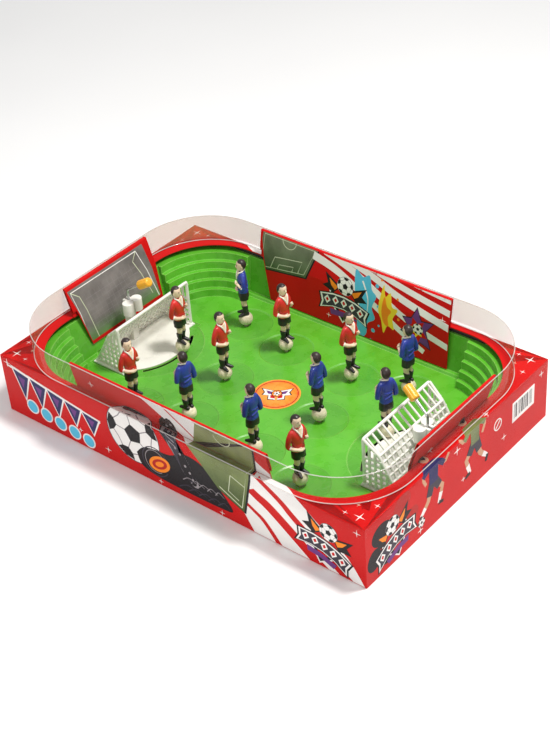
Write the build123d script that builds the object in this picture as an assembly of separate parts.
from build123d import *
import os
from math import cos, radians, sin

# A boxed tabletop football game with sprung players, in millimetres.
# +X runs along the long side, from the red goal to the blue goal. +Y runs from the front to the back.
# The origin is at the middle of the box's underside.

# Overall sizes
LENGTH = 450.0
WIDTH = 294.0
BOX_TOP = 68.0
RIM_TOP = 99.0

# Clear cover: thin formed sheet
SHEET = 0.6
SKIRT_DEPTH = 12.0
COVER_GAP = 0.2
WALL_X = 221.0
WALL_Y = 146.0
WALL_R = 76.0

# Carton
CARD = 1.5
TUCK_CARD = 1.0
TUCK_GAP = 0.3
TUCK_DEPTH = 12.0
CUTOUT_X = 210.0
CUTOUT_Y = 139.0
CUTOUT_R = 70.0

# Flaps: folded from the rim down to the pitch
FLAP_CARD = 0.8
FLAP_FOLD = 2.4
FLAP_INSET = 2.8
LONG_FLAP = (-123.0, 118.0)
SHORT_FLAP = (-58.0, 63.0)
FLAP_TAPER = 14.0
FLAP_TAPER_DROP = 4.0
FLAP_TOP = 98.4
FLAP_WALL_GAP_LONG = 1.0
FLAP_WALL_GAP_SHORT = 1.4
LONG_FLAP_LOW = 20.5
SHORT_FLAP_LOW = 29.0
LONG_FLAP_TOE = -1.4
SHORT_FLAP_TOE = 1.2

# Pitch tray
TRAY_WALL = 1.2
PITCH_Z = 17.0
TRAY_RIM_Z = 61.0
STEPS = 5
CORNER_X = 140.0
CORNER_Y = 69.0
STEP_R_LOW = 46.5
STEP_R_TOP = 70.5
SIDE_Y_LOW = 134.0
SIDE_Y_TOP = 139.5
END_X_LOW = 201.0
END_X_TOP = 210.5
KERB_Y = 128.0
KERB_TOP = 19.5
KERB_SLOPE = 2.0
TRAY_SKIRT_X = 219.0
TRAY_SKIRT_Y = 141.8
DISH_R = 29.0
DISH_DEPTH = 0.8
DISH_SLOPE = 1.5
DISC_R = 24.0
DISC_Y = 8.0
DISC_THICK = 0.25

# Sprung players, red set: (x, y) of each. The blue set is the red set turned half round the centre spot.
RED_SPOTS = [(104.0, -85.0), (-106.0, -84.0), (46.0, 70.0), (-60.0, 0.0), (-40.0, 73.0)]
PEG_R = 2.0
PEG_HOLE_R = 3.1
PEG_END_Z = 4.2
CAP_R = 5.0
CAP_LOW = 3.6
CAP_THICK = 1.8
SPRING_R = 3.5
SPRING_WIRE_R = 0.35
SPRING_TURNS = 6
SPRING_ROOM = 0.05
PUSH_FIT = 0.02
BALL_R = 7.5
BALL_Z = 24.6
BALL_CUT_Z = 18.4
LEG_Y = 2.6
NECK_Z = 80.5
NECK_R = 2.4
HEAD_TOP = 97.0
HEAD_R = 5.0
HEAD_SHAPE = (1.05, 0.92, 1.28)
ARM_RADIUS = 2.2
RIGHT_ARM = [(0.0, -7.0, 80.0), (-2.0, -9.6, 66.5), (4.8, -2.6, 64.0)]
LEFT_ARM = [(0.0, 7.0, 80.0), (0.4, 9.6, 67.0), (6.8, 5.4, 72.0)]

# Goals, in a frame whose pivot lies at GOAL_PIVOT on the X axis and whose +X points at the pitch
GOAL_PIVOT = 187.0
MOUTH_U = 34.0
BACK_BAR_U = 18.0
NET_FOOT_U = -3.0
POST_Y = 52.0
BACK_Y = 50.0
CROSSBAR_Z = 70.0
BACK_BAR_Z = 56.0
BAR = 3.0
NET_BAR = 1.4
NET_PITCH = 5.0
ROOF_SLAT = 2.0
ROOF_PITCH = 8.0
BASE_R = 58.5
BASE_BACK_U = -6.0
BASE_Y = 55.0
BASE_TOP = 17.8
RECESS_R = 56.0
RECESS_U = 24.0
RECESS_Y = 57.0
RECESS_BACK_U = -9.0
RECESS_FRONT_U = 43.0

# Crank lever and goalkeeper
WIRE_R = 1.25
WIRE_CLEAR = 0.08
WIRE_BEND = 4.0
ARM_Z = 9.0
ARM_R = 61.0
BEND_Z = 78.0
GRIP_U = 23.0
GRIP_Z = 91.0
GRIP_LENGTH = 16.0
GRIP_R = 5.0
GRIP_RIBS = 9
GRIP_ROUNDING = 2.2
GROOVE_R = 0.8
GROOVE_OUT = 0.35
BORE_SHARE = 0.9
WIRE_END_SHARE = 1.2
KEEPER_HOLE = 6.5
WIRE_IN_KEEPER = 6.0
CLIP_R = 3.4
CLIP_Z = 13.6
CLIP_THICK = 0.9
PIVOT_HOLE_SPARE = 1.0
SLOT_HALF = 1.7
SWING_LIMIT = 36.0
SLOT_SPARE = 2.5
GUIDE_TOP = 66.0
GUIDE_HALF_Y = 4.0
GUIDE_FRONT_U = 4.0
GUIDE_BACK_U = -5.0
GUIDE_ROOM = 0.05
LOBE_R = 5.8
LOBE_Y = 6.2
LOBE_U = 4.6
LOBE_LOW = 52.0
RAIL_ROOM = 0.3
KEEPER_SWING = {"left": 10.0, "right": -16.0}


def box_between(low, high):
    """A box from its lowest and highest corners."""
    size = [b - a for a, b in zip(low, high)]
    middle = [(a + b) / 2 for a, b in zip(low, high)]
    return Pos(*middle) * Box(*size)


def rounded_slab(half_x, half_y, radius, low, high):
    """A flat slab with rounded corners in plan."""
    outline = RectangleRounded(2 * half_x, 2 * half_y, radius)
    return Pos(0, 0, low) * extrude(outline, amount=high - low)


def tube_box(half_x, half_y, wall, low, high):
    """Four upright walls around an open middle."""
    outer = box_between((-half_x, -half_y, low), (half_x, half_y, high))
    inner = box_between((wall - half_x, wall - half_y, low - 1), (half_x - wall, half_y - wall, high + 1))
    return outer - inner


def plate_in_xz(points, y_low, y_high):
    """A profile drawn in X and Z, given thickness along Y."""
    face = make_face(Polyline(*[(x, 0, z) for x, z in points], close=True))
    solid = extrude(face, amount=y_high - y_low, dir=(0, 1, 0))
    return Pos(0, y_low, 0) * solid


def post(radius, low, high):
    """An upright round post on the Z axis."""
    return Pos(0, 0, low) * extrude(Circle(radius), amount=high - low)


def bar_between(start, end, width):
    """A square bar between two points."""
    a = Vector(*start)
    b = Vector(*end)
    side = Vector(0, 1, 0)
    if abs((b - a).normalized().Y) > 0.9:
        side = Vector(1, 0, 0)
    plane = Plane(origin=a, x_dir=side, z_dir=b - a)
    return extrude(plane * Rectangle(width, width), amount=(b - a).length)


# ---------------------------------------------------------------- carton and cover

CARTON_X = LENGTH / 2 - SHEET - COVER_GAP
CARTON_Y = WIDTH / 2 - SHEET - COVER_GAP
LID_LOW = BOX_TOP - CARD


def carton_base():
    floor = box_between((-CARTON_X, -CARTON_Y, 0), (CARTON_X, CARTON_Y, CARD))
    return floor + tube_box(CARTON_X, CARTON_Y, CARD, CARD, LID_LOW)


def carton_lid():
    panel = box_between((-CARTON_X, -CARTON_Y, LID_LOW), (CARTON_X, CARTON_Y, BOX_TOP))
    tuck_x = CARTON_X - CARD - TUCK_GAP
    tuck_y = CARTON_Y - CARD - TUCK_GAP
    tuck = tube_box(tuck_x, tuck_y, TUCK_CARD, LID_LOW - TUCK_DEPTH, LID_LOW)
    opening = rounded_slab(CUTOUT_X, CUTOUT_Y, CUTOUT_R, LID_LOW - 1, BOX_TOP + 1)
    return panel + tuck - opening


def clear_cover():
    inner_r = WALL_R - SHEET
    flange = box_between((-LENGTH / 2, -WIDTH / 2, BOX_TOP), (LENGTH / 2, WIDTH / 2, BOX_TOP + SHEET))
    wall = rounded_slab(WALL_X, WALL_Y, WALL_R, BOX_TOP, RIM_TOP)
    bore = rounded_slab(WALL_X - SHEET, WALL_Y - SHEET, inner_r, BOX_TOP - 1, RIM_TOP + 1)
    skirt = tube_box(LENGTH / 2, WIDTH / 2, SHEET, BOX_TOP - SKIRT_DEPTH, BOX_TOP)
    return flange + skirt + wall - bore


def flap(edge, reach_top, low, low_out, span):
    """A folded flap in section: an upright layer from the cut-out's edge, and a layer down inside.

    edge is the cut-out's half width, reach_top how far out the fold lies, low and low_out where the
    inner layer ends. span is the flap's extent along its fold. It is drawn for the +X side.
    """
    t = FLAP_CARD
    kink = edge - FLAP_INSET
    fold = reach_top - FLAP_FOLD
    upright = [
        (edge, LID_LOW),
        (edge, BOX_TOP),
        (reach_top, FLAP_TOP),
        (fold, FLAP_TOP),
        (fold, FLAP_TOP - t),
        (reach_top - t, FLAP_TOP - t),
        (edge - t, BOX_TOP),
        (edge - t, LID_LOW),
    ]
    inner = [
        (fold, FLAP_TOP),
        (fold - t, FLAP_TOP - t),
        (kink - t, BOX_TOP),
        (low_out - t, low),
        (low_out, low),
        (kink, BOX_TOP),
        (fold, FLAP_TOP - t),
    ]
    end = span[1]
    slant = [
        (0, end, FLAP_TOP + 1),
        (0, end + 1, FLAP_TOP + 1),
        (0, end + 1, low - 1),
        (0, end - FLAP_TAPER, low - 1),
        (0, end - FLAP_TAPER, low),
        (0, end, FLAP_TOP - FLAP_TAPER_DROP),
    ]
    between_layers = edge - (FLAP_INSET + t) / 2 + t / 2
    cut = extrude(make_face(Polyline(*slant, close=True)), amount=between_layers, dir=(1, 0, 0))
    return plate_in_xz(upright, *span) + plate_in_xz(inner, *span) - cut


def flaps():
    """The four flaps. Each is drawn on the +X side and turned to its own side."""
    short_top = WALL_X - SHEET - FLAP_WALL_GAP_SHORT
    long_top = WALL_Y - SHEET - FLAP_WALL_GAP_LONG
    short_side = (CUTOUT_X, short_top, SHORT_FLAP_LOW, END_X_LOW + SHORT_FLAP_TOE)
    long_side = (CUTOUT_Y, long_top, LONG_FLAP_LOW, SIDE_Y_LOW + LONG_FLAP_TOE)
    short_mirrored = (-SHORT_FLAP[1], -SHORT_FLAP[0])
    long_mirrored = (-LONG_FLAP[1], -LONG_FLAP[0])
    right = flap(*short_side, SHORT_FLAP)
    left = Rot(0, 0, 180) * flap(*short_side, short_mirrored)
    back = Rot(0, 0, 90) * flap(*long_side, long_mirrored)
    front = Rot(0, 0, -90) * flap(*long_side, LONG_FLAP)
    return {"flap_right": right, "flap_left": left, "flap_back": back, "flap_front": front}


# ---------------------------------------------------------------- pitch tray


def tray_hollow(grow):
    """The space above the tray. grow makes it larger all round, for the moulding's outer side."""
    over = TRAY_RIM_Z + 4
    floor = PITCH_Z - grow
    rise = (over - PITCH_Z) / (TRAY_RIM_Z - PITCH_Z)
    side_over = SIDE_Y_LOW + (SIDE_Y_TOP - SIDE_Y_LOW) * rise + grow
    end_over = END_X_LOW + (END_X_TOP - END_X_LOW) * rise + grow
    kerb = KERB_Y + grow
    side = [
        (-kerb, floor),
        (kerb, floor),
        (kerb + KERB_SLOPE, KERB_TOP - grow),
        (SIDE_Y_LOW + grow, KERB_TOP - grow),
        (side_over, over),
        (-side_over, over),
        (-SIDE_Y_LOW - grow, KERB_TOP - grow),
        (-kerb - KERB_SLOPE, KERB_TOP - grow),
    ]
    end = [(-END_X_LOW - grow, floor), (END_X_LOW + grow, floor), (end_over, over), (-end_over, over)]
    along = CORNER_X + grow
    across = CORNER_Y + grow
    hollow = Rot(0, 0, 90) * plate_in_xz(side, -along, along)
    hollow += plate_in_xz(end, -across, across)
    rise_each = (TRAY_RIM_Z - PITCH_Z) / STEPS
    tread = (STEP_R_TOP - STEP_R_LOW) / STEPS
    for sx in (-1, 1):
        for sy in (-1, 1):
            for k in range(STEPS + 1):
                low = PITCH_Z + k * rise_each - grow
                step = post(STEP_R_LOW + k * tread + grow, low, over)
                hollow += Pos(sx * CORNER_X, sy * CORNER_Y, 0) * step
    return hollow


def player_spots():
    """Every sprung player's node name, place and facing."""
    spots = []
    for number, (x, y) in enumerate(RED_SPOTS, start=1):
        spots.append((f"red_{number}", x, y, 0))
        spots.append((f"blue_{number}", -x, -y, 180))
    return spots


def goal_recess(low, high, spare):
    """The shallow sunken area around a goal, in the goal's own frame."""
    ring = Pos(RECESS_U, 0, low) * extrude(Circle(RECESS_R + spare), amount=high - low)
    front_u = RECESS_FRONT_U + spare
    back = box_between((RECESS_BACK_U - spare, -RECESS_Y - spare, low), (front_u, RECESS_Y + spare, high))
    return ring + back


def keeper_slot(low, high):
    """The curved slot that the goalkeeper's wire moves along, in the goal's own frame."""
    reach = SWING_LIMIT + SLOT_SPARE
    ring = Circle(ARM_R + SLOT_HALF) - Circle(ARM_R - SLOT_HALF)
    far = 2 * ARM_R
    edge = (far * cos(radians(reach)), far * sin(radians(reach)))
    wedge = make_face(Polyline((0, 0), (edge[0], -edge[1]), (2 * far, 0), edge, close=True))
    return Pos(0, 0, low) * extrude(ring & wedge, amount=high - low)


GOAL_PLACES = {"left": Pos(-GOAL_PIVOT, 0, 0), "right": Pos(GOAL_PIVOT, 0, 0) * Rot(0, 0, 180)}


def pitch_tray():
    """One moulding: pitch, stepped corners, rim flange and a skirt that stands on the carton's bottom."""
    flange_top = TRAY_RIM_Z
    flange = box_between(
        (-TRAY_SKIRT_X, -TRAY_SKIRT_Y, flange_top - TRAY_WALL), (TRAY_SKIRT_X, TRAY_SKIRT_Y, flange_top)
    )
    skirt = tube_box(TRAY_SKIRT_X, TRAY_SKIRT_Y, TRAY_WALL, CARD, flange_top - TRAY_WALL)
    above = box_between((-LENGTH, -WIDTH, flange_top), (LENGTH, WIDTH, RIM_TOP))
    tray = tray_hollow(TRAY_WALL) - above
    pad_low = PITCH_Z - DISH_DEPTH - TRAY_WALL
    for _, x, y, _ in player_spots():
        tray += Pos(x, y, 0) * post(DISH_R + TRAY_WALL, pad_low, pad_low + TRAY_WALL)
    for place in GOAL_PLACES.values():
        tray += place * goal_recess(pad_low, pad_low + TRAY_WALL, TRAY_WALL)
    tray += flange
    tray += skirt
    tray -= tray_hollow(0)
    for _, x, y, _ in player_spots():
        dish = Cone(DISH_R - DISH_SLOPE, DISH_R, DISH_DEPTH, align=(Align.CENTER, Align.CENTER, Align.MIN))
        tray -= Pos(x, y, PITCH_Z - DISH_DEPTH) * dish
        tray -= Pos(x, y, 0) * post(PEG_HOLE_R, 0, PITCH_Z + 1)
    for place in GOAL_PLACES.values():
        tray -= place * goal_recess(PITCH_Z - DISH_DEPTH, PITCH_Z + 1, 0)
        tray -= place * keeper_slot(1, PITCH_Z + 1)
        tray -= place * post(WIRE_R + PIVOT_HOLE_SPARE, 0, PITCH_Z + 1)
    return tray


def centre_disc():
    return Pos(0, DISC_Y, 0) * post(DISC_R, PITCH_Z, PITCH_Z + DISC_THICK)


# ---------------------------------------------------------------- goals, in the goal's own frame


def goal_base():
    """The white base plate: a round front and square sides, with the crank wire's bore."""
    low = PITCH_Z - DISH_DEPTH
    keep = box_between((BASE_BACK_U, -BASE_Y, low), (BASE_R, BASE_Y, BASE_TOP))
    square = box_between((BASE_BACK_U, -BASE_Y, low), (MOUTH_U + BAR, BASE_Y, BASE_TOP))
    plate = (post(BASE_R, low, BASE_TOP) & keep) + square
    return plate - post(WIRE_R + WIRE_CLEAR, 0, BASE_TOP)


def goal_corners():
    """The goal frame's corner points on its +Y side: mouth top, back bar end and rear foot."""
    mouth = (MOUTH_U, POST_Y, CROSSBAR_Z)
    back = (BACK_BAR_U, BACK_Y, BACK_BAR_Z)
    foot = (NET_FOOT_U, BACK_Y, BASE_TOP + BAR / 2)
    return mouth, back, foot


def thick_bar(start, end):
    """A square bar of the goal frame, drawn a little past both of its ends, along one axis."""
    half = BAR / 2
    low = [min(a, b) - half for a, b in zip(start, end)]
    high = [max(a, b) + half for a, b in zip(start, end)]
    return box_between(low, high)


def goal_frame():
    """Posts, crossbar, back bar and the rails that tie them to the base plate."""
    mouth, back, foot = goal_corners()
    rail_z = foot[2]
    rear_start = GUIDE_HALF_Y + RAIL_ROOM + BAR / 2
    frame = thick_bar((mouth[0], -POST_Y, mouth[2]), (mouth[0], POST_Y, mouth[2]))
    frame += thick_bar((back[0], -BACK_Y, back[2]), (back[0], BACK_Y, back[2]))
    for s in (-1, 1):
        frame += thick_bar((mouth[0], s * POST_Y, rail_z), (mouth[0], s * POST_Y, mouth[2]))
        frame += thick_bar((foot[0], s * BACK_Y, rail_z), (mouth[0] - BAR, s * BACK_Y, rail_z))
        frame += thick_bar((foot[0], s * rear_start, rail_z), (foot[0], s * BACK_Y, rail_z))
        top_front = (mouth[0], s * POST_Y, mouth[2])
        top_back = (back[0], s * BACK_Y, back[2])
        low_back = (foot[0], s * BACK_Y, foot[2])
        frame += bar_between(top_front, top_back, BAR)
        frame += bar_between(top_back, low_back, BAR)
    return frame


def side_net_top(u):
    """The height of the goal's side at a distance u from the pivot."""
    mouth, back, foot = goal_corners()
    if u <= back[0]:
        share = (u - foot[0]) / (back[0] - foot[0])
        return foot[2] + (back[2] - foot[2]) * share
    share = (u - back[0]) / (mouth[0] - back[0])
    return back[2] + (mouth[2] - back[2]) * share


def roof_net():
    """The slats that slope from the crossbar down to the back bar, and the bar across them."""
    mouth, back, _ = goal_corners()
    middle = [(a + b) / 2 for a, b in zip(mouth, back)]
    net = bar_between((middle[0], -BACK_Y, middle[2]), (middle[0], BACK_Y, middle[2]), NET_BAR)
    slats = int(BACK_Y // ROOF_PITCH)
    for k in range(-slats, slats + 1):
        y = k * ROOF_PITCH
        net += bar_between((mouth[0], y, mouth[2]), (back[0], y, back[2]), ROOF_SLAT)
    return net


def goal_net(frame):
    """The moulded net: slats over the roof, and grids over the back and sides, cut to meet the frame."""
    mouth, back, foot = goal_corners()
    net = roof_net()
    columns = int(BACK_Y // NET_PITCH)
    for k in range(1 - columns, columns):
        y = k * NET_PITCH
        net += bar_between((back[0], y, back[2]), (foot[0], y, foot[2]), NET_BAR)
    rows = int((back[2] - foot[2]) // NET_PITCH)
    for k in range(1, rows):
        share = k / rows
        u = back[0] + (foot[0] - back[0]) * share
        z = back[2] + (foot[2] - back[2]) * share
        net += bar_between((u, -BACK_Y, z), (u, BACK_Y, z), NET_BAR)
        for s in (-1, 1):
            net += bar_between((u, s * BACK_Y, z), (mouth[0], s * POST_Y, z), NET_BAR)
    uprights = int((mouth[0] - foot[0]) // NET_PITCH)
    for k in range(1, uprights):
        u = foot[0] + k * NET_PITCH
        side_y = BACK_Y + (POST_Y - BACK_Y) * (u - foot[0]) / (mouth[0] - foot[0])
        for s in (-1, 1):
            net += bar_between((u, s * side_y, BASE_TOP), (u, s * side_y, side_net_top(u)), NET_BAR)
    room = GUIDE_HALF_Y + GUIDE_ROOM
    guide_room = box_between((RECESS_BACK_U, -room, 0), (GUIDE_FRONT_U + GUIDE_ROOM, room, GUIDE_TOP + 1))
    return net - guide_room - frame


def lever_guide():
    """The post behind the net: two round lobes at its top, and a slot at the rear for the crank wire."""
    block = box_between((GUIDE_BACK_U, -GUIDE_HALF_Y, BASE_TOP), (GUIDE_FRONT_U, GUIDE_HALF_Y, GUIDE_TOP))
    for s in (-1, 1):
        block += Pos(LOBE_U, s * LOBE_Y, 0) * post(LOBE_R, LOBE_LOW, GUIDE_TOP)
    half = WIRE_R + WIRE_CLEAR
    slot = box_between((GUIDE_BACK_U - 1, -half, BASE_TOP - 1), (0, half, GUIDE_TOP + 1))
    slot += post(half, BASE_TOP - 1, GUIDE_TOP + 1)
    return block - slot


# ---------------------------------------------------------------- crank lever, in the goal's own frame


def crank_wire():
    """One bent wire: up from the goalkeeper's arm, through the base plate, to the grip's end."""
    tip = (GRIP_U * WIRE_END_SHARE, 0, BEND_Z + (GRIP_Z - BEND_Z) * WIRE_END_SHARE)
    corners = [
        tip,
        (0, 0, BEND_Z),
        (0, 0, ARM_Z),
        (ARM_R, 0, ARM_Z),
        (ARM_R, 0, PITCH_Z + WIRE_IN_KEEPER),
    ]
    path = FilletPolyline(*corners, radius=WIRE_BEND)
    section = Plane(origin=path @ 0, z_dir=path % 0) * Circle(WIRE_R)
    return sweep(section, path=path)


def lever_grip():
    """A ribbed barrel, pushed over the wire's upper end."""
    half = GRIP_LENGTH / 2
    barrel = Cylinder(GRIP_R, GRIP_LENGTH)
    barrel = fillet(barrel.edges(), GRIP_ROUNDING)
    for k in range(GRIP_RIBS):
        turn = 360 * k / GRIP_RIBS
        barrel -= Rot(0, 0, turn) * Pos(GRIP_R + GROOVE_OUT, 0, 0) * Cylinder(GROOVE_R, GRIP_LENGTH + 2)
    barrel -= post(WIRE_R + PUSH_FIT, -half, GRIP_LENGTH * BORE_SHARE - half)
    lean = Vector(GRIP_U, 0, GRIP_Z - BEND_Z)
    return Plane(origin=(GRIP_U, 0, GRIP_Z), z_dir=lean).location * barrel


def lever_clip():
    """A push-on ring on the crank wire, under the tray."""
    return post(CLIP_R, CLIP_Z, CLIP_Z + CLIP_THICK) - post(WIRE_R + PUSH_FIT, 0, PITCH_Z)


# ---------------------------------------------------------------- players


def ellipse_stack(levels):
    """A smooth body through a list of (z, middle x, half depth, half width)."""
    sections = [Pos(x, 0, z) * Ellipse(depth, width) for z, x, depth, width in levels]
    return loft(sections)


def limb(points, radius):
    """Round rods joined end to end with balls at the joints."""
    shape = None
    for a, b in zip(points, points[1:]):
        start = Vector(*a)
        line = Vector(*b) - start
        rod = Plane(origin=start, z_dir=line).location * post(radius, 0, line.length)
        joint = Pos(*b) * Sphere(radius * 1.02)
        shape = rod + joint if shape is None else shape + rod + joint
    return shape


def player_body():
    """A standing player facing +X on its ball-shaped foot, from the neck of the foot to the hair."""
    keep_high = box_between((-BALL_R, -BALL_R, BALL_CUT_Z), (BALL_R, BALL_R, BALL_Z + BALL_R))
    ball = Pos(0, 0, BALL_Z) * Sphere(BALL_R)
    body = (ball & keep_high) + post(PEG_R, PITCH_Z, BALL_Z)
    leg = ellipse_stack([(30, 0.6, 3.4, 2.6), (38, 0, 2.5, 2.3), (46, 0.2, 2.7, 2.5), (56, 0, 3.6, 3)])
    boot = Pos(2.2, 0, 31.6) * Box(9.0, 4.2, 4.4)
    for s in (-1, 1):
        body += Pos(0, s * LEG_Y, 0) * (leg + boot)
    body += ellipse_stack([(50.5, 0, 5.6, 7.4), (56, 0, 5.4, 6.8), (61, 0, 4.6, 6)])
    body += ellipse_stack([(60, 0, 4.6, 6), (68, 0.3, 4.9, 6.8), (76, 0.2, 5, 8.2), (82, 0, 3.6, 7)])
    body += post(NECK_R, NECK_Z, HEAD_TOP - HEAD_R)
    body += Pos(0, 0, HEAD_TOP - HEAD_R * HEAD_SHAPE[2]) * scale(Sphere(HEAD_R), by=HEAD_SHAPE)
    body += limb(LEFT_ARM, ARM_RADIUS)
    body += limb(RIGHT_ARM, ARM_RADIUS)
    return body


def sprung_player():
    """A field player: the body with the peg that goes down through the pitch."""
    return player_body() + post(PEG_R, PEG_END_Z, PITCH_Z + 1)


def goalkeeper():
    """A goalkeeper: the body with the blind hole that the crank wire's end is pressed into."""
    return player_body() - post(WIRE_R + PUSH_FIT, 0, PITCH_Z + KEEPER_HOLE)


def peg_cap():
    """The cap pushed onto a peg's end, which the spring bears on."""
    return post(CAP_R, CAP_LOW, CAP_LOW + CAP_THICK) - post(PEG_R + PUSH_FIT, 0, PITCH_Z)


def peg_spring():
    """The coil spring between the underside of the pitch and the cap."""
    low = CAP_LOW + CAP_THICK + SPRING_WIRE_R + SPRING_ROOM
    high = PITCH_Z - DISH_DEPTH - TRAY_WALL - SPRING_WIRE_R - SPRING_ROOM
    path = Helix((high - low) / SPRING_TURNS, high - low, SPRING_R)
    section = Plane(origin=path @ 0, z_dir=path % 0) * Circle(SPRING_WIRE_R)
    return Pos(0, 0, low) * sweep(section, path=path, is_frenet=True)


# ---------------------------------------------------------------- assembly


def build():
    """Every node by name."""
    nodes = {
        "carton_base": carton_base(),
        "carton_lid": carton_lid(),
        "clear_cover": clear_cover(),
        "pitch_tray": pitch_tray(),
        "centre_disc": centre_disc(),
    }
    nodes.update(flaps())
    frame = goal_frame()
    net = goal_net(frame)
    keeper = goalkeeper()
    for side, place in GOAL_PLACES.items():
        nodes[f"goal_base_{side}"] = place * goal_base()
        nodes[f"goal_frame_{side}"] = place * frame
        nodes[f"goal_net_{side}"] = place * net
        nodes[f"lever_guide_{side}"] = place * lever_guide()
        swung = place * Rot(0, 0, KEEPER_SWING[side])
        nodes[f"crank_wire_{side}"] = swung * crank_wire()
        nodes[f"lever_grip_{side}"] = swung * lever_grip()
        nodes[f"lever_clip_{side}"] = swung * lever_clip()
        nodes[f"keeper_{side}"] = swung * Pos(ARM_R, 0, 0) * keeper
    player = sprung_player()
    cap = peg_cap()
    spring = peg_spring()
    for name, x, y, facing in player_spots():
        place = Pos(x, y, 0) * Rot(0, 0, facing)
        nodes[name] = place * player
        nodes[f"{name}_cap"] = place * cap
        nodes[f"{name}_spring"] = place * spring
    return nodes


os.makedirs("parts", exist_ok=True)
for node_name, shape in build().items():
    export_step(shape, f"parts/{node_name}.step")
